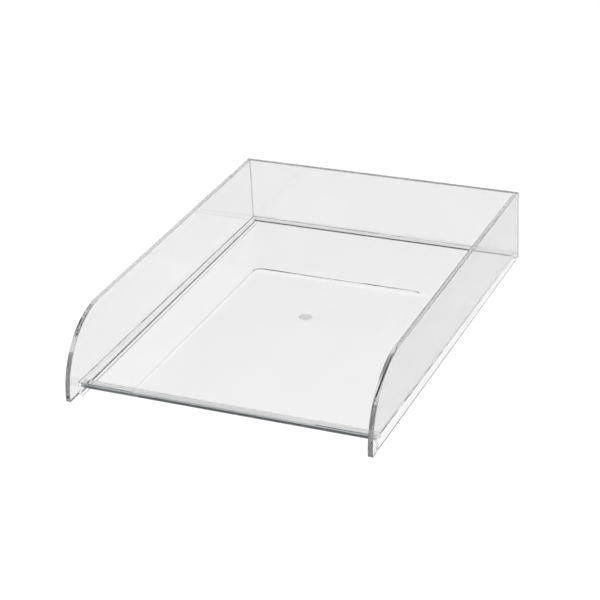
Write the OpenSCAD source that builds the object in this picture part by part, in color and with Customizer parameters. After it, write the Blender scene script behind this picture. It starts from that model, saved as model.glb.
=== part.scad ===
// Clear plastic letter tray for A4 sheets: two side walls with quarter-round fronts, a back wall,
// a thin floor that falls gently towards the back, a thicker lip along the floor's front edge,
// and a stacking rail inside each side wall that the tray stands on.
// The origin is the middle of the footprint, at the rails' undersides. +X is to the right,
// +Y is towards the back wall and +Z is up. Lengths are in millimetres.

/* [Tray] */
// Overall width across the side walls
tray_width = 242; // [230:1:270]
// Overall depth from the side walls' fronts to the back wall's rear face
tray_depth = 330; // [320:1:360]
// Height of the side and back walls, without the rails
wall_height = 58.5; // [58:0.5:75]
// Thickness of the side and back walls
wall_thickness = 3.8; // [3:0.1:5]
// Radius of the quarter-round front of each side wall
front_radius = 57.5; // [40:0.5:58]

/* [Floor] */
// Thickness of the floor sheet
floor_thickness = 2; // [1.6:0.1:3]
// How far the floor's front edge is set back from the side walls' fronts
floor_setback = 13.4; // [8:0.2:30]
// Floor's top surface above the walls' bottom edges, at the front
floor_front_height = 9.5; // [8:0.1:12]
// Floor's top surface above the walls' bottom edges, at the back
floor_back_height = 6; // [4:0.1:8]
// Height of the lip along the floor's front edge
lip_height = 4; // [3:0.2:6]
// Front-to-back size of the lip
lip_depth = 7; // [6:0.5:12]
// Radius of the lip's two front edges
lip_radius = 0.6; // [0.4:0.1:1.4]

/* [Floor details] */
// Width of the shallow sunk field in the floor
field_width = 144; // [100:1:180]
// Length of the sunk field, from the lip's front edge
field_length = 218.5; // [150:0.5:260]
// Depth of the sunk field
field_depth = 0.3; // [0.2:0.1:0.6]
// Corner radius of the sunk field
field_radius = 6; // [3:0.5:12]
// Diameter of the round moulding gate mark under the middle of the tray
gate_diameter = 10.5; // [6:0.5:14]
// Depth of the gate mark
gate_depth = 0.4; // [0.2:0.1:0.6]

/* [Stacking rails] */
// Thickness of each rail
rail_thickness = 2; // [1.6:0.1:3]
// How far the rails reach below the walls' bottom edges
rail_drop = 2.5; // [1.5:0.1:4]
// Radius of the rails' lower front corners
rail_toe_radius = 0.6; // [0.4:0.1:2]

/* [Hidden] */
$fn = 96;

clear_plastic = [0.93, 0.94, 0.94, 0.45];

front_y = -tray_depth / 2;
back_y = tray_depth / 2;
back_inner_y = back_y - wall_thickness;
wall_inner_x = tray_width / 2 - wall_thickness;
rail_inner_x = wall_inner_x - rail_thickness;
wall_bottom_z = rail_drop;
wall_top_z = wall_bottom_z + wall_height;

lip_front_y = front_y + floor_setback;
floor_span = 2 * rail_inner_x;
floor_run = back_inner_y - lip_front_y;
floor_fall = floor_front_height - floor_back_height;
floor_tilt = atan(floor_fall / floor_run);
floor_front_z = wall_bottom_z + floor_front_height;
floor_back_z = wall_bottom_z + floor_back_height;

// Cutters run this far past the faces that they open
cut = 1;

// Stands an outline drawn in (Y, Z) up and extrudes it along +X from x
module along_x(x, length) {
    translate([x, 0, 0])
        rotate([90, 0, 90])
            linear_extrude(height = length)
                children();
}

// Moves children from the floor's own frame, where x, y lie in its top surface, z = 0 is that
// surface and y = 0 is the lip's front edge
module on_floor() {
    translate([0, lip_front_y, floor_front_z])
        rotate([-floor_tilt, 0, 0])
            children();
}

// The same for an outline drawn in the floor's own (Y, Z)
module on_floor_outline() {
    translate([lip_front_y, floor_front_z])
        rotate(-floor_tilt)
            children();
}

// What a square corner loses when it is rounded; the corner is at the origin and the solid lies
// towards +x and +y
module corner_waste(radius) {
    difference() {
        translate([-cut, -cut])
            square(radius + cut);
        translate([radius, radius])
            circle(r = radius);
    }
}

// Side wall seen from the right
module side_wall_outline() {
    difference() {
        translate([front_y, wall_bottom_z])
            square([back_inner_y - front_y, wall_height]);
        translate([front_y, wall_top_z])
            mirror([0, 1])
                corner_waste(front_radius);
    }
}

// Stacking rail seen from the right: it reaches from the floor's top surface to the rest plane
module rail_outline() {
    difference() {
        polygon([
            [lip_front_y, 0],
            [back_inner_y, 0],
            [back_inner_y, floor_back_z],
            [lip_front_y, floor_front_z]
        ]);
        on_floor_outline()
            mirror([0, 1])
                corner_waste(lip_radius);
        translate([lip_front_y, 0])
            corner_waste(rail_toe_radius);
    }
}

// Lip seen from the right, in the floor's own frame
module lip_outline() {
    difference() {
        translate([0, -lip_height])
            square([lip_depth, lip_height]);
        mirror([0, 1])
            corner_waste(lip_radius);
        translate([0, -lip_height])
            corner_waste(lip_radius);
    }
}

// Sunk field with its two rounded back corners, in the floor's own frame
module field_cutter() {
    half_width = field_width / 2;
    straight_width = field_width - 2 * field_radius;
    straight_length = field_length - field_radius;
    translate([0, 0, -field_depth])
        linear_extrude(height = field_depth + cut) {
            translate([-half_width, -cut])
                square([field_width, straight_length + cut]);
            translate([-straight_width / 2, -cut])
                square([straight_width, field_length + cut]);
            for (side = [-1, 1])
                translate([side * straight_width / 2, straight_length])
                    circle(r = field_radius);
        }
}

// Round gate mark in the floor's underside
module gate_cutter() {
    translate([0, -lip_front_y, -floor_thickness - cut])
        cylinder(d = gate_diameter, h = cut + gate_depth);
}

module left_side_wall() {
    color(clear_plastic)
        along_x(-tray_width / 2, wall_thickness)
            side_wall_outline();
}

module right_side_wall() {
    color(clear_plastic)
        along_x(wall_inner_x, wall_thickness)
            side_wall_outline();
}

module back_wall() {
    color(clear_plastic)
        translate([-tray_width / 2, back_inner_y, wall_bottom_z])
            cube([tray_width, wall_thickness, wall_height]);
}

module floor_panel() {
    color(clear_plastic)
        difference() {
            on_floor()
                translate([-floor_span / 2, lip_depth, -floor_thickness])
                    cube([floor_span, floor_run, floor_thickness]);
            on_floor()
                field_cutter();
            on_floor()
                gate_cutter();
            translate([-tray_width / 2, back_inner_y, 0])
                cube([tray_width, floor_run, wall_top_z]);
        }
}

module front_lip() {
    color(clear_plastic)
        difference() {
            on_floor()
                along_x(-floor_span / 2, floor_span)
                    lip_outline();
            on_floor()
                field_cutter();
        }
}

module left_stacking_rail() {
    color(clear_plastic)
        along_x(-wall_inner_x, rail_thickness)
            rail_outline();
}

module right_stacking_rail() {
    color(clear_plastic)
        along_x(rail_inner_x, rail_thickness)
            rail_outline();
}

left_side_wall();
right_side_wall();
back_wall();
floor_panel();
front_lip();
left_stacking_rail();
right_stacking_rail();
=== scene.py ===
import math

import bmesh
import bpy
from mathutils import Matrix, Vector


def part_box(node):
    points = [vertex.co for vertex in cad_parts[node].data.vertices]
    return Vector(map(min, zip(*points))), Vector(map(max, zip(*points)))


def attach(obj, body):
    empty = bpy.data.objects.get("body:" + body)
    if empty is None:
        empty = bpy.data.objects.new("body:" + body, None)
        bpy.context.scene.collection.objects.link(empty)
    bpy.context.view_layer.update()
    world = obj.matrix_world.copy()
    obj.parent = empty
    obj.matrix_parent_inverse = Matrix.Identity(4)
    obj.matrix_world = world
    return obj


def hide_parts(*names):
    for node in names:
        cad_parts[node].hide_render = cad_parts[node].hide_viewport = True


# Clear plastic letter tray. The whole moulding is built as one body with its edges and inside
# corners rounded, and is then cut along the CAD panels into one closed piece per node. The cut
# faces are see-through, so that light crosses them as it crosses solid plastic.
# Lengths are in metres. +X is to the right, +Y is towards the back wall and +Z is up.

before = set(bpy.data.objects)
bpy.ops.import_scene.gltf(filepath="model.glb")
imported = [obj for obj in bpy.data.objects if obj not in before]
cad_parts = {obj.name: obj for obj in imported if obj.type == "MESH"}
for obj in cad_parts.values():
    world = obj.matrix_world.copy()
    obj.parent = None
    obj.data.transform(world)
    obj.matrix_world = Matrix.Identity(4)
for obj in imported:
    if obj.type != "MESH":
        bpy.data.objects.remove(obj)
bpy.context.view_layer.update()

MM = 0.001
X_AXIS = 0
Y_AXIS = 1

# The tray's two sides, and which way each lies along X
SIDES = {"left": -1, "right": 1}

# Sizes that the CAD nodes' boxes give
WALL_LOW, WALL_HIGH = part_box("right_side_wall")
RAIL_LOW, RAIL_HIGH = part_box("right_stacking_rail")
FLOOR_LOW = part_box("floor_panel")[0]
OUTER_X = WALL_HIGH.x
WALL_INNER_X = WALL_LOW.x
RAIL_INNER_X = RAIL_LOW.x
FRONT_Y = WALL_LOW.y
BACK_INNER_Y = WALL_HIGH.y
BACK_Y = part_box("back_wall")[1].y
WALL_BOTTOM_Z = WALL_LOW.z
WALL_TOP_Z = WALL_HIGH.z
LIP_FRONT_Y = RAIL_LOW.y
FLOOR_FRONT_Z = RAIL_HIGH.z

# Sizes that the boxes don't give, as in the CAD model
FRONT_RADIUS = 57.5 * MM
FLOOR_THICKNESS = 2.0 * MM
LIP_HEIGHT = 4.0 * MM
LIP_DEPTH = 7.0 * MM
LIP_RADIUS = 0.6 * MM
RAIL_TOE_RADIUS = 0.6 * MM
FIELD_WIDTH = 144.0 * MM
FIELD_LENGTH = 218.5 * MM
FIELD_DEPTH = 0.3 * MM
FIELD_RADIUS = 6.0 * MM
GATE_RADIUS = 5.25 * MM
GATE_DEPTH = 0.4 * MM

# The floor's top surface: its height at the back, its length along Y, and its fall as an angle
FLOOR_BACK_Z = FLOOR_LOW.z + FLOOR_THICKNESS
FLOOR_RUN = BACK_INNER_Y - LIP_FRONT_Y
FLOOR_TILT = math.atan((FLOOR_FRONT_Z - FLOOR_BACK_Z) / FLOOR_RUN)
# From the lip's front to the middle of the tray, where the gate mark is
GATE_RUN = -LIP_FRONT_Y

# Details that the CAD model leaves out: the slope of the field's step, the rounding of the
# moulding's edges and of the side walls' outer bottom edges, and the floor's fillets at the
# sides and at the back
FIELD_SLOPE = 1.2 * MM
EDGE_RADIUS = 0.2 * MM
BASE_RADIUS = 0.3 * MM
FILLET_RADIUS = 0.9 * MM
BACK_FILLET_RADIUS = 1.6 * MM

# Straight steps in each round stretch
FRONT_STEPS = 120
SMALL_STEPS = 8
FIELD_STEPS = 10
GATE_STEPS = 48
EDGE_STEPS = 4

# Edges that turn by less than FLAT_ANGLE are dissolved, and by less than SHARP_ANGLE not rounded
FLAT_ANGLE = math.radians(0.1)
SHARP_ANGLE = math.radians(30)

# Solids that are joined overlap by this much, and cutters pass the faces they open by as much
OVERLAP = 1.0 * MM
# Cutting planes keep this far off the panels' faces, fillets sink this far into the faces they
# run into, and points of the body that are nearer than this are one
SNAP = 0.001 * MM
# How near a plane a point counts as in it while cutting, and is moved into it afterwards
CUT_TOLERANCE = SNAP / 10
SNAP_REACH = 2 * SNAP
# Points of a finished piece that are nearer than this are merged
MERGE = 0.01 * MM

# Material slots that all pieces have
SURFACE_SLOT = 0
SEAM_SLOT = 1
# The walls' other slots, all tinted as painted shade: upright narrow faces, bottom roundings and
# tops
EDGE_SHADE_SLOT = 2
BASE_SHADE_SLOT = 3
RIM_SHADE_SLOT = 4
# The other slots of the floor and of the rails, which have no gate mark: the fillets, tinted darker
# as painted shade in the corners, and the gate mark
FILLET_SHADE_SLOT = 2
GATE_SLOT = 3
# The lip's other slot, for its front, which is tinted dark as painted shade
NOSE_SHADE_SLOT = 2

# Faces are told apart by how far their unit normals point in a direction.
# Down, for a wall's bottom rounding, from its upright end to the flat underside
BASE_DOWN = (0.15, 0.98)
# Up at least, for a wall's top
RIM_UP = 0.6
# Down and across the wall at most, for its upright narrow faces
EDGE_DOWN = 0.3
EDGE_ACROSS = 0.9
# Up, for a fillet, from the wall to the flat floor
FILLET_UP = (0.1, 0.99)
# Forwards at least, for the lip's front
NOSE_FORWARDS = 0.5

PLASTIC_IOR = 1.49
# Height of the moulding's waviness
WAVE = 0.02 * MM
# Features per metre and detail of the tint's drift, of the waviness and of the gloss
CLOUD_SCALE = 18
CLOUD_DETAIL = 3
WAVE_SCALE = 30
WAVE_DETAIL = 1
GLOSS_SCALE = 240
GLOSS_DETAIL = 4
# The stretch that most of a noise texture's values lie in
NOISE_LOW = 0.3
NOISE_HIGH = 0.7

# Sockets of the Mix node for colours
MIX_FACTOR = 0
MIX_LOW = 6
MIX_HIGH = 7
MIX_RESULT = 2

# The table's reach from the tray's middle each way, its distance below the rails, and its finish
TABLE_REACH = 2.0
TABLE_GAP = 0.1 * MM
TABLE_LEVEL = 0.9
TABLE_ROUGHNESS = 0.9

# A square lamp above the tray, with its size in metres and its power in watts
LAMP_PLACE = Vector((0, 0, 4))
LAMP_TARGET = Vector((0, 0, 0))
LAMP_SIZE = 6
LAMP_POWER = 321

# Light that runs along inside a sheet needs many bounces to get out again
LIGHT_BOUNCES = 96

# Brightness of the studio, and of an unlit patch of it: the patch's direction from the tray, and
# how far from that direction it begins and ends to fade
STUDIO_LEVEL = 0.95
UNLIT_LEVEL = 0.01
UNLIT_TOWARDS = Vector((-0.37, 0.81, 0.46))
UNLIT_INNER = math.radians(26)
UNLIT_OUTER = math.radians(42)

# The camera: the point it aims at, how far off it stands, its turns, and its lens and sensor in
# millimetres
VIEW_AIM = Vector((0.0014, -0.0109, 0.030))
VIEW_DISTANCE = 1.4978
VIEW_YAW = math.radians(24.71)
VIEW_PITCH = math.radians(27.18)
VIEW_ROLL = math.radians(-3.12)
VIEW_LENS = 116.86
VIEW_SENSOR = 36


def arc(centre, radius, start_deg, end_deg, steps):
    """Points along an arc round centre, both ends included."""
    points = []
    for i in range(steps + 1):
        angle = math.radians(start_deg + (end_deg - start_deg) * i / steps)
        points.append((centre[0] + radius * math.cos(angle), centre[1] + radius * math.sin(angle)))
    return points


def on_floor(y, z):
    """The tray's (Y, Z) of a point given in the floor's own frame.

    That frame starts at the lip's front edge; y runs back along the floor's top surface, and z
    stands upright on it.
    """
    c = math.cos(FLOOR_TILT)
    s = math.sin(FLOOR_TILT)
    return (LIP_FRONT_Y + y * c + z * s, FLOOR_FRONT_Z - y * s + z * c)


def new_object(name, bm):
    """Turns a bmesh, which is used up, into an object with its faces looking outwards."""
    mesh = bpy.data.meshes.new(name)
    bmesh.ops.recalc_face_normals(bm, faces=bm.faces)
    bm.to_mesh(mesh)
    bm.free()
    obj = bpy.data.objects.new(name, mesh)
    bpy.context.scene.collection.objects.link(obj)
    return obj


def stacked(name, rings):
    """A closed solid through rings of equal length, each a list of points."""
    bm = bmesh.new()
    rows = [[bm.verts.new(point) for point in ring] for ring in rings]
    bm.faces.new(rows[0])
    bm.faces.new(rows[-1])
    for low, high in zip(rows, rows[1:]):
        for i in range(len(low)):
            j = (i + 1) % len(low)
            bm.faces.new((low[i], low[j], high[j], high[i]))
    return new_object(name, bm)


def prism(name, outline, x0, x1):
    """A solid with an outline drawn in (Y, Z) and extruded from x0 to x1."""
    bm = bmesh.new()
    near = [bm.verts.new((x0, y, z)) for y, z in outline]
    far = [bm.verts.new((x1, y, z)) for y, z in outline]
    bm.faces.new(near)
    bm.faces.new(far)
    for i in range(len(outline)):
        j = (i + 1) % len(outline)
        bm.faces.new((near[i], far[i], far[j], near[j]))
    return new_object(name, bm)


def side_wall_outline():
    """A side wall with its quarter-round front."""
    centre = (FRONT_Y + FRONT_RADIUS, WALL_TOP_Z - FRONT_RADIUS)
    front = arc(centre, FRONT_RADIUS, 90, 180, FRONT_STEPS)
    return [(FRONT_Y, WALL_BOTTOM_Z), (BACK_Y, WALL_BOTTOM_Z), (BACK_Y, WALL_TOP_Z)] + front


def back_wall_outline():
    """The back wall, cut through from front to back."""
    return [
        (BACK_INNER_Y, WALL_BOTTOM_Z),
        (BACK_Y, WALL_BOTTOM_Z),
        (BACK_Y, WALL_TOP_Z),
        (BACK_INNER_Y, WALL_TOP_Z),
    ]


def lip_brow():
    """The rounded upper front edge of the lip and of the rails beside it."""
    return arc((LIP_RADIUS, -LIP_RADIUS), LIP_RADIUS, 180, 90, SMALL_STEPS)


def rail_outline():
    """A rail, from its foot up to the floor's top surface."""
    toe_centre = (LIP_FRONT_Y + RAIL_TOE_RADIUS, RAIL_TOE_RADIUS)
    toe = arc(toe_centre, RAIL_TOE_RADIUS, 270, 180, SMALL_STEPS)
    brow = [on_floor(y, z) for y, z in lip_brow()]
    return toe + brow + [(BACK_INNER_Y, FLOOR_BACK_Z), (BACK_INNER_Y, 0)]


def floor_outline():
    """Lip and floor sheet in one; the sheet runs into the back wall."""
    length = (FLOOR_RUN + OVERLAP) / math.cos(FLOOR_TILT)
    chin = arc((LIP_RADIUS, LIP_RADIUS - LIP_HEIGHT), LIP_RADIUS, 270, 180, SMALL_STEPS)
    sheet = [(length, 0), (length, -FLOOR_THICKNESS), (LIP_DEPTH, -FLOOR_THICKNESS)]
    heel = [(LIP_DEPTH, -LIP_HEIGHT)]
    return [on_floor(y, z) for y, z in chin + lip_brow() + sheet + heel]


def floor_points(outline, height):
    """An outline in the floor's (X, Y) as points of the tray, at a height above its top surface."""
    return [Vector((x, *on_floor(y, height))) for x, y in outline]


def field_outline(grow):
    """The sunk field with rounded back corners, open at the front, made larger by grow."""
    half = FIELD_WIDTH / 2 + grow
    radius = FIELD_RADIUS + grow
    straight = half - radius
    end = FIELD_LENGTH - FIELD_RADIUS
    left = arc((-straight, end), radius, 180, 90, FIELD_STEPS)
    right = arc((straight, end), radius, 90, 0, FIELD_STEPS)
    return [(-half, -OVERLAP)] + left + right + [(half, -OVERLAP)]


def field_cutter():
    """Cuts the sunk field, with a sloping step."""
    rings = [
        floor_points(field_outline(0), -FIELD_DEPTH),
        floor_points(field_outline(FIELD_SLOPE), 0),
        floor_points(field_outline(FIELD_SLOPE + OVERLAP), OVERLAP),
    ]
    return stacked("field_cutter", rings)


def gate_outline(radius):
    """A circle round the middle of the gate mark."""
    circle = arc((0, 0), radius, 0, 360, GATE_STEPS)
    return [(x, GATE_RUN + y) for x, y in circle[:-1]]


def gate_cutter():
    """Cuts the shallow round gate mark into the floor's underside."""
    rings = [
        floor_points(gate_outline(GATE_RADIUS + OVERLAP), -FLOOR_THICKNESS - OVERLAP),
        floor_points(gate_outline(GATE_RADIUS), -FLOOR_THICKNESS),
        floor_points(gate_outline(GATE_RADIUS - GATE_DEPTH), -FLOOR_THICKNESS + GATE_DEPTH),
    ]
    return stacked("gate_cutter", rings)


def fillet_outline(radius):
    """A hollow quarter round in a corner at the origin, open towards plus and plus."""
    reach = radius - SNAP
    hollow = arc((reach, reach), radius, 270, 180, SMALL_STEPS)
    return hollow + [(-OVERLAP, reach), (-OVERLAP, -OVERLAP), (reach, -OVERLAP)]


def side_fillet(side):
    """Fills the corner between the floor and a side wall."""
    rings = []
    for run in (LIP_RADIUS, FLOOR_RUN + OVERLAP):
        ring = []
        for across, up in fillet_outline(FILLET_RADIUS):
            ring.append(Vector((side * (WALL_INNER_X - across), *on_floor(run, up))))
        rings.append(ring)
    return stacked("side_fillet", rings)


def back_fillet():
    """Fills the corner between the floor and the back wall."""
    corner = FLOOR_RUN / math.cos(FLOOR_TILT)
    outline = [on_floor(corner - along, up) for along, up in fillet_outline(BACK_FILLET_RADIUS)]
    reach = WALL_INNER_X + OVERLAP
    return prism("back_fillet", outline, -reach, reach)


def bake_modifiers(obj):
    """Makes the result of an object's modifiers its mesh."""
    graph = bpy.context.evaluated_depsgraph_get()
    mesh = bpy.data.meshes.new_from_object(obj.evaluated_get(graph))
    obj.modifiers.clear()
    obj.data = mesh


def combine(target, other, operation):
    """Joins or cuts target with other, which is used up."""
    modifier = target.modifiers.new("combine", "BOOLEAN")
    modifier.object = other
    modifier.operation = operation
    modifier.solver = "EXACT"
    bake_modifiers(target)
    bpy.data.objects.remove(other)


def clean(obj):
    """Removes doubled points and joins flat neighbours into one face."""
    bm = bmesh.new()
    bm.from_mesh(obj.data)
    bmesh.ops.remove_doubles(bm, verts=bm.verts, dist=SNAP)
    bmesh.ops.dissolve_limit(bm, angle_limit=FLAT_ANGLE, verts=bm.verts, edges=bm.edges)
    bm.to_mesh(obj.data)
    bm.free()


def edge_radius(edge):
    """How much an edge of the body is rounded."""
    ends = [vert.co for vert in edge.verts]
    if edge.calc_face_angle(0) < SHARP_ANGLE:
        return 0
    if all(abs(end.z - WALL_BOTTOM_Z) < SNAP and abs(end.x) > OUTER_X - SNAP for end in ends):
        return BASE_RADIUS
    return EDGE_RADIUS


def round_edges(body):
    """Rounds the body's sharp edges."""
    bm = bmesh.new()
    bm.from_mesh(body.data)
    weight = bm.edges.layers.float.new("bevel_weight_edge")
    largest = max(EDGE_RADIUS, BASE_RADIUS)
    for edge in bm.edges:
        edge[weight] = edge_radius(edge) / largest
    bm.to_mesh(body.data)
    bm.free()
    rounding = body.modifiers.new("rounding", "BEVEL")
    rounding.width = largest
    rounding.segments = EDGE_STEPS
    rounding.limit_method = "WEIGHT"
    rounding.use_clamp_overlap = False
    bake_modifiers(body)


def moulding():
    """The whole tray as one body."""
    body = prism("moulding", side_wall_outline(), -OUTER_X, -WALL_INNER_X)
    combine(body, prism("back", back_wall_outline(), -WALL_INNER_X, WALL_INNER_X), "UNION")
    combine(body, prism("right", side_wall_outline(), WALL_INNER_X, OUTER_X), "UNION")
    combine(body, prism("left_rail", rail_outline(), -WALL_INNER_X, -RAIL_INNER_X), "UNION")
    combine(body, prism("right_rail", rail_outline(), RAIL_INNER_X, WALL_INNER_X), "UNION")
    combine(body, prism("floor", floor_outline(), -RAIL_INNER_X, RAIL_INNER_X), "UNION")
    clean(body)
    round_edges(body)
    combine(body, field_cutter(), "DIFFERENCE")
    combine(body, gate_cutter(), "DIFFERENCE")
    for side in SIDES.values():
        combine(body, side_fillet(side), "UNION")
    combine(body, back_fillet(), "UNION")
    return body


def panel_planes():
    """For each piece, its node and the planes that cut it from the moulding.

    A plane is a point in it and the direction of the side that is kept.
    """
    wall_x = WALL_INNER_X - SNAP
    rail_x = RAIL_INNER_X - SNAP
    back = (0, BACK_INNER_Y - SNAP, 0)
    ahead = (back, (0, -1, 0))
    above = ((0, 0, WALL_BOTTOM_Z - SNAP), (0, 0, 1))
    lip_back = (0, *on_floor(LIP_DEPTH + SNAP, 0))
    along_floor = Vector((0, math.cos(FLOOR_TILT), -math.sin(FLOOR_TILT)))
    between_rails = [((side * rail_x, 0, 0), (-side, 0, 0)) for side in SIDES.values()]
    planes = {"back_wall": [(back, (0, 1, 0)), above]}
    for name, side in SIDES.items():
        planes[name + "_side_wall"] = [ahead, ((side * wall_x, 0, 0), (side, 0, 0)), above]
    for name, side in SIDES.items():
        inside_wall = ((side * wall_x, 0, 0), (-side, 0, 0))
        beside_floor = ((side * rail_x, 0, 0), (side, 0, 0))
        planes[name + "_stacking_rail"] = [ahead, inside_wall, beside_floor]
    planes["floor_panel"] = [ahead, *between_rails, (lip_back, along_floor)]
    planes["front_lip"] = [*between_rails, (lip_back, -along_floor)]
    return planes


def cut_at(bm, point, keep):
    """Keeps the side of a plane that keep points to, and closes the cut with seam faces."""
    bmesh.ops.bisect_plane(
        bm,
        geom=bm.verts[:] + bm.edges[:] + bm.faces[:],
        dist=CUT_TOLERANCE,
        plane_co=Vector(point),
        plane_no=Vector(keep).normalized(),
        clear_inner=True,
    )
    open_edges = [edge for edge in bm.edges if edge.is_boundary]
    made = bmesh.ops.edgeloop_fill(bm, edges=open_edges)
    for face in made["faces"]:
        face.material_index = SEAM_SLOT


def snap_plane(bm, axis, value):
    """Moves points that lie just off a plane onto it."""
    for vert in bm.verts:
        if abs(vert.co[axis] - value) < SNAP_REACH:
            vert.co[axis] = value


def cut_out(body, name, planes):
    """The part of the body on the kept side of every plane, as a closed piece."""
    bm = bmesh.new()
    bm.from_mesh(body.data)
    for point, keep in planes:
        cut_at(bm, point, keep)
    for x in (-WALL_INNER_X, -RAIL_INNER_X, RAIL_INNER_X, WALL_INNER_X):
        snap_plane(bm, X_AXIS, x)
    snap_plane(bm, Y_AXIS, BACK_INNER_Y)
    bmesh.ops.remove_doubles(bm, verts=bm.verts, dist=MERGE)
    return new_object(name, bm)


def bare_foot(piece):
    """Makes the part of a rail's outer seams that stands free below the walls a surface."""
    bm = bmesh.new()
    bm.from_mesh(piece.data)
    bmesh.ops.bisect_plane(
        bm,
        geom=bm.verts[:] + bm.edges[:] + bm.faces[:],
        dist=CUT_TOLERANCE,
        plane_co=(0, 0, WALL_BOTTOM_Z),
        plane_no=(0, 0, 1),
    )
    for face in bm.faces:
        if face.material_index == SEAM_SLOT and face.calc_center_bounds().z < WALL_BOTTOM_Z:
            face.material_index = SURFACE_SLOT
    bm.to_mesh(piece.data)
    bm.free()


def noise(tree, scale, detail):
    """Noise over the tray's own coordinates; scale is in features per metre."""
    place = tree.nodes.new("ShaderNodeTexCoord")
    texture = tree.nodes.new("ShaderNodeTexNoise")
    texture.inputs["Scale"].default_value = scale
    texture.inputs["Detail"].default_value = detail
    tree.links.new(place.outputs["Object"], texture.inputs["Vector"])
    return texture.outputs["Fac"]


def spread(tree, source, low, high):
    """Stretches noise to run from low to high."""
    span = tree.nodes.new("ShaderNodeMapRange")
    span.inputs["From Min"].default_value = NOISE_LOW
    span.inputs["From Max"].default_value = NOISE_HIGH
    span.inputs["To Min"].default_value = low
    span.inputs["To Max"].default_value = high
    tree.links.new(source, span.inputs["Value"])
    return span.outputs["Result"]


def blend_colours(tree, factor, low, high):
    """Runs from the colour low to the colour high as the factor goes from 0 to 1."""
    mix = tree.nodes.new("ShaderNodeMix")
    mix.data_type = "RGBA"
    mix.inputs[MIX_LOW].default_value = (*low, 1)
    mix.inputs[MIX_HIGH].default_value = (*high, 1)
    tree.links.new(factor, mix.inputs[MIX_FACTOR])
    return mix.outputs[MIX_RESULT]


def plastic(name, colours, roughness, clouding=CLOUD_SCALE, clearness=None):
    """Clear plastic that lets lamp light through to what lies behind it.

    colours are the ends of a slow cloudy drift in its tint, with clouding features per metre,
    roughness the ends of its gloss, and clearness the ends of its share of clear plastic, which
    is otherwise all of it.
    """
    mat = bpy.data.materials.new(name)
    mat.use_nodes = True
    tree = mat.node_tree
    bsdf = tree.nodes["Principled BSDF"]
    bsdf.inputs["Transmission Weight"].default_value = 1.0
    bsdf.inputs["IOR"].default_value = PLASTIC_IOR
    drift = noise(tree, clouding, CLOUD_DETAIL)
    tint = blend_colours(tree, spread(tree, drift, 0, 1), *colours)
    tree.links.new(tint, bsdf.inputs["Base Color"])
    fine = noise(tree, GLOSS_SCALE, GLOSS_DETAIL)
    tree.links.new(spread(tree, fine, *roughness), bsdf.inputs["Roughness"])
    if clearness:
        tree.links.new(spread(tree, fine, *clearness), bsdf.inputs["Transmission Weight"])
    bump = tree.nodes.new("ShaderNodeBump")
    bump.inputs["Strength"].default_value = 1.0
    bump.inputs["Distance"].default_value = WAVE
    tree.links.new(noise(tree, WAVE_SCALE, WAVE_DETAIL), bump.inputs["Height"])
    tree.links.new(bump.outputs["Normal"], bsdf.inputs["Normal"])
    path = tree.nodes.new("ShaderNodeLightPath")
    clear = tree.nodes.new("ShaderNodeBsdfTransparent")
    mix = tree.nodes.new("ShaderNodeMixShader")
    tree.links.new(path.outputs["Is Shadow Ray"], mix.inputs["Fac"])
    tree.links.new(bsdf.outputs["BSDF"], mix.inputs[1])
    tree.links.new(clear.outputs["BSDF"], mix.inputs[2])
    tree.links.new(mix.outputs["Shader"], tree.nodes["Material Output"].inputs["Surface"])
    return mat


def grey(level):
    """A colour without a hue."""
    return (level, level, level)


def wall_plastic_painted_shade():
    """The walls' broad faces and undersides, tinted greyer than the floor's plastic as painted
    shade.
    """
    # Painted shade: the walls are tinted greyer than the floor, though both are one moulding
    colours = (grey(0.79), grey(0.81))
    return plastic("wall_plastic_painted_shade", colours, roughness=(0.0, 0.004))


def floor_plastic():
    """The floor and the rails."""
    colours = (grey(0.98), grey(1.0))
    return plastic("floor_plastic", colours, roughness=(0.0, 0.004))


def edge_plastic_painted_shade():
    """The side walls' mottled front and back edges, tinted near black as painted shade."""
    # Painted shade: near-black tint, partly opaque, for the light lost along the length of the
    # sheet
    colours = (grey(0.05), grey(0.3))
    return plastic(
        "edge_plastic_painted_shade", colours, roughness=(0.02, 0.12), clouding=60, clearness=(1.0, 0.85)
    )


def rim_plastic_painted_shade():
    """The tops of the side walls, tinted grey as painted shade."""
    # Painted shade: the tops are tinted grey for the light that runs down inside the walls
    colours = (grey(0.58), grey(0.64))
    return plastic("rim_plastic_painted_shade", colours, roughness=(0.0, 0.02))


def back_edge_plastic_painted_shade():
    """The back wall's top, ends and bottom rounding, tinted dark as painted shade."""
    # Painted shade: tinted dark for the light lost inside the back wall
    colours = (grey(0.24), grey(0.3))
    return plastic("back_edge_plastic_painted_shade", colours, roughness=(0.0, 0.03))


def base_plastic_painted_shade():
    """The rounded bottom edges of the side walls, tinted near black as painted shade."""
    # Painted shade: tinted near black for the dark line along the foot of each side wall
    colours = (grey(0.05), grey(0.1))
    return plastic("base_plastic_painted_shade", colours, roughness=(0.02, 0.1))


def fillet_plastic_painted_shade():
    """The rounded corners between the floor and the walls, tinted darker as painted shade."""
    # Painted shade: tinted darker for the shade in the corners between floor and walls
    colours = (grey(0.6), grey(0.7))
    return plastic("fillet_plastic_painted_shade", colours, roughness=(0.0, 0.02))


def lip_plastic_painted_shade():
    """The lip, apart from its front, tinted greyer than the floor as painted shade."""
    # Painted shade: tinted greyer than the floor's plastic of the same moulding
    colours = (grey(0.68), grey(0.76))
    return plastic("lip_plastic_painted_shade", colours, roughness=(0.0, 0.02))


def nose_plastic_painted_shade():
    """The lip's front, which is faintly blue and tinted dark as painted shade."""
    # Painted shade: tinted dark, with a faint blue, for the dark band along the lip's front
    colours = ((0.15, 0.18, 0.19), (0.22, 0.25, 0.26))
    return plastic("nose_plastic_painted_shade", colours, roughness=(0.0, 0.04))


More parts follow.
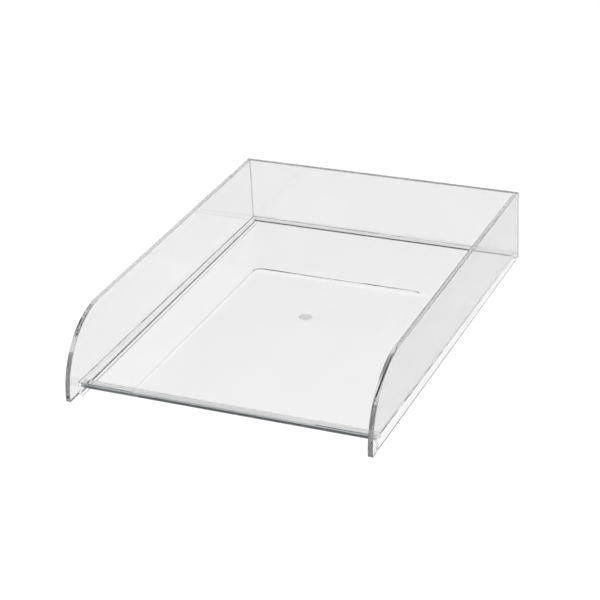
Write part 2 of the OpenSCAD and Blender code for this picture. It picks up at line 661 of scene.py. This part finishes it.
def gate_plastic_frost_and_painted_shade():
    """The gate mark, which is frosted and faintly warm, with its tint darkened as painted shade."""
    # The frosted mark is real; its darkened tint is painted shade
    colours = ((0.34, 0.31, 0.31), (0.42, 0.39, 0.39))
    return plastic("gate_plastic_frost_and_painted_shade", colours, roughness=(0.2, 0.4))


def see_through():
    """The seams between pieces, which don't show."""
    mat = bpy.data.materials.new("seam")
    mat.use_nodes = True
    tree = mat.node_tree
    tree.nodes.clear()
    out = tree.nodes.new("ShaderNodeOutputMaterial")
    clear = tree.nodes.new("ShaderNodeBsdfTransparent")
    tree.links.new(clear.outputs["BSDF"], out.inputs["Surface"])
    return mat


def piece_finishes():
    """For each piece, its node and its materials in the order of its slots. All but the seam and
    the floor's plastic have painted shade in their tint.
    """
    seam = see_through()
    wall = wall_plastic_painted_shade()
    floor = floor_plastic()
    edge = edge_plastic_painted_shade()
    rim = rim_plastic_painted_shade()
    back_edge = back_edge_plastic_painted_shade()
    base = base_plastic_painted_shade()
    fillet = fillet_plastic_painted_shade()
    return {
        "back_wall": (wall, seam, back_edge, back_edge, back_edge),
        "left_side_wall": (wall, seam, edge, base, rim),
        "right_side_wall": (wall, seam, edge, base, rim),
        "left_stacking_rail": (floor, seam, fillet),
        "right_stacking_rail": (floor, seam, fillet),
        "floor_panel": (floor, seam, fillet, gate_plastic_frost_and_painted_shade()),
        "front_lip": (lip_plastic_painted_shade(), seam, nose_plastic_painted_shade()),
    }


def mark(piece, slot, chosen):
    """Gives the finish in a slot to the surface faces that are chosen."""
    for face in piece.data.polygons:
        if face.material_index == SURFACE_SLOT and chosen(face):
            face.material_index = slot


def mark_wall(piece, across):
    """Gives a wall's bottom rounding, its top and its upright narrow faces their finishes, which
    are painted shade.

    across is the axis that runs through the wall from one broad face to the other.
    """
    mark(piece, BASE_SHADE_SLOT, lambda face: BASE_DOWN[0] < -face.normal.z < BASE_DOWN[1])
    mark(piece, RIM_SHADE_SLOT, lambda face: face.normal.z > RIM_UP)
    mark(
        piece,
        EDGE_SHADE_SLOT,
        lambda face: abs(face.normal[across]) < EDGE_ACROSS and -face.normal.z < EDGE_DOWN,
    )


def mark_gate(piece):
    """Gives the gate mark's faces, in the floor's underside, their own finish."""
    middle = Vector((0, *on_floor(GATE_RUN, -FLOOR_THICKNESS)))
    mesh = piece.data
    for face in mesh.polygons:
        reach = max((mesh.vertices[i].co - middle).length for i in face.vertices)
        if reach < GATE_RADIUS + EDGE_RADIUS:
            face.material_index = GATE_SLOT


def in_fillet(face):
    """True for a face of a fillet, and false for one of the field's sloping step."""
    beside_field = abs(face.center.x) > FIELD_WIDTH / 2 + OVERLAP
    behind_field = face.center.y > LIP_FRONT_Y + FIELD_LENGTH + OVERLAP
    return FILLET_UP[0] < face.normal.z < FILLET_UP[1] and (beside_field or behind_field)


def mark_details(pieces):
    """Gives the details of all pieces their finishes, most of which are painted shade."""
    mark_wall(pieces["back_wall"], Y_AXIS)
    for name in SIDES:
        mark_wall(pieces[name + "_side_wall"], X_AXIS)
        rail = pieces[name + "_stacking_rail"]
        bare_foot(rail)
        mark(rail, FILLET_SHADE_SLOT, in_fillet)
    mark(pieces["floor_panel"], FILLET_SHADE_SLOT, in_fillet)
    mark_gate(pieces["floor_panel"])
    mark(pieces["front_lip"], NOSE_SHADE_SLOT, lambda face: -face.normal.y > NOSE_FORWARDS)


def make_pieces():
    """Cuts the moulding into one piece per node and finishes the pieces."""
    body = moulding()
    finishes = piece_finishes()
    pieces = {}
    for name, planes in panel_planes().items():
        piece = cut_out(body, name + "_shell", planes)
        for mat in finishes[name]:
            piece.data.materials.append(mat)
        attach(piece, "root")
        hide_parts(name)
        pieces[name] = piece
    mark_details(pieces)
    bpy.data.objects.remove(body)


def make_stage():
    """The white table that the tray stands on."""
    bm = bmesh.new()
    bmesh.ops.create_grid(bm, x_segments=1, y_segments=1, size=TABLE_REACH)
    bmesh.ops.translate(bm, verts=bm.verts, vec=(0, 0, -TABLE_GAP))
    table = new_object("table", bm)
    mat = bpy.data.materials.new("table_white")
    mat.use_nodes = True
    finish = mat.node_tree.nodes["Principled BSDF"].inputs
    finish["Base Color"].default_value = (*grey(TABLE_LEVEL), 1)
    finish["Roughness"].default_value = TABLE_ROUGHNESS
    finish["Specular IOR Level"].default_value = 0.0
    table.data.materials.append(mat)


def make_world():
    """White all round, with an unlit stretch of background behind the tray."""
    world = bpy.data.worlds.new("studio")
    bpy.context.scene.world = world
    world.use_nodes = True
    tree = world.node_tree
    place = tree.nodes.new("ShaderNodeTexCoord")
    facing = tree.nodes.new("ShaderNodeVectorMath")
    facing.operation = "DOT_PRODUCT"
    facing.inputs[1].default_value = UNLIT_TOWARDS.normalized()
    tree.links.new(place.outputs["Generated"], facing.inputs[0])
    level = tree.nodes.new("ShaderNodeMapRange")
    level.interpolation_type = "SMOOTHSTEP"
    level.inputs["From Min"].default_value = math.cos(UNLIT_OUTER)
    level.inputs["From Max"].default_value = math.cos(UNLIT_INNER)
    level.inputs["To Min"].default_value = STUDIO_LEVEL
    level.inputs["To Max"].default_value = UNLIT_LEVEL
    tree.links.new(facing.outputs["Value"], level.inputs["Value"])
    tree.links.new(level.outputs["Result"], tree.nodes["Background"].inputs["Color"])
    world.cycles_visibility.diffuse = False


def make_lamp():
    """One large soft lamp, which alone lights the table."""
    data = bpy.data.lights.new("overhead", "AREA")
    data.shape = "SQUARE"
    data.size = LAMP_SIZE
    data.energy = LAMP_POWER
    data.cycles.use_multiple_importance_sampling = False
    lamp = bpy.data.objects.new("overhead", data)
    bpy.context.scene.collection.objects.link(lamp)
    lamp.location = LAMP_PLACE
    lamp.rotation_euler = (LAMP_PLACE - LAMP_TARGET).to_track_quat("Z", "Y").to_euler()


def set_light_paths():
    """Lets light through many layers of plastic, and leaves caustics out."""
    cycles = bpy.context.scene.cycles
    cycles.caustics_reflective = False
    cycles.caustics_refractive = False
    cycles.max_bounces = LIGHT_BOUNCES
    cycles.glossy_bounces = LIGHT_BOUNCES
    cycles.transmission_bounces = LIGHT_BOUNCES
    cycles.transparent_max_bounces = LIGHT_BOUNCES


def make_camera():
    """Looks down at the tray from the front, a little to the right."""
    forward = Vector(
        (
            -math.sin(VIEW_YAW) * math.cos(VIEW_PITCH),
            math.cos(VIEW_YAW) * math.cos(VIEW_PITCH),
            -math.sin(VIEW_PITCH),
        )
    )
    data = bpy.data.cameras.new("camera")
    data.lens = VIEW_LENS
    data.sensor_width = VIEW_SENSOR
    camera = bpy.data.objects.new("camera", data)
    bpy.context.scene.collection.objects.link(camera)
    level = forward.to_track_quat("-Z", "Y").to_matrix().to_4x4()
    turn = Matrix.Rotation(VIEW_ROLL, 4, "Z")
    camera.matrix_world = Matrix.Translation(VIEW_AIM - forward * VIEW_DISTANCE) @ level @ turn
    bpy.context.scene.camera = camera


make_camera()
make_pieces()
make_stage()
make_world()
make_lamp()
set_light_paths()
bpy.context.scene.view_settings.view_transform = "Standard"
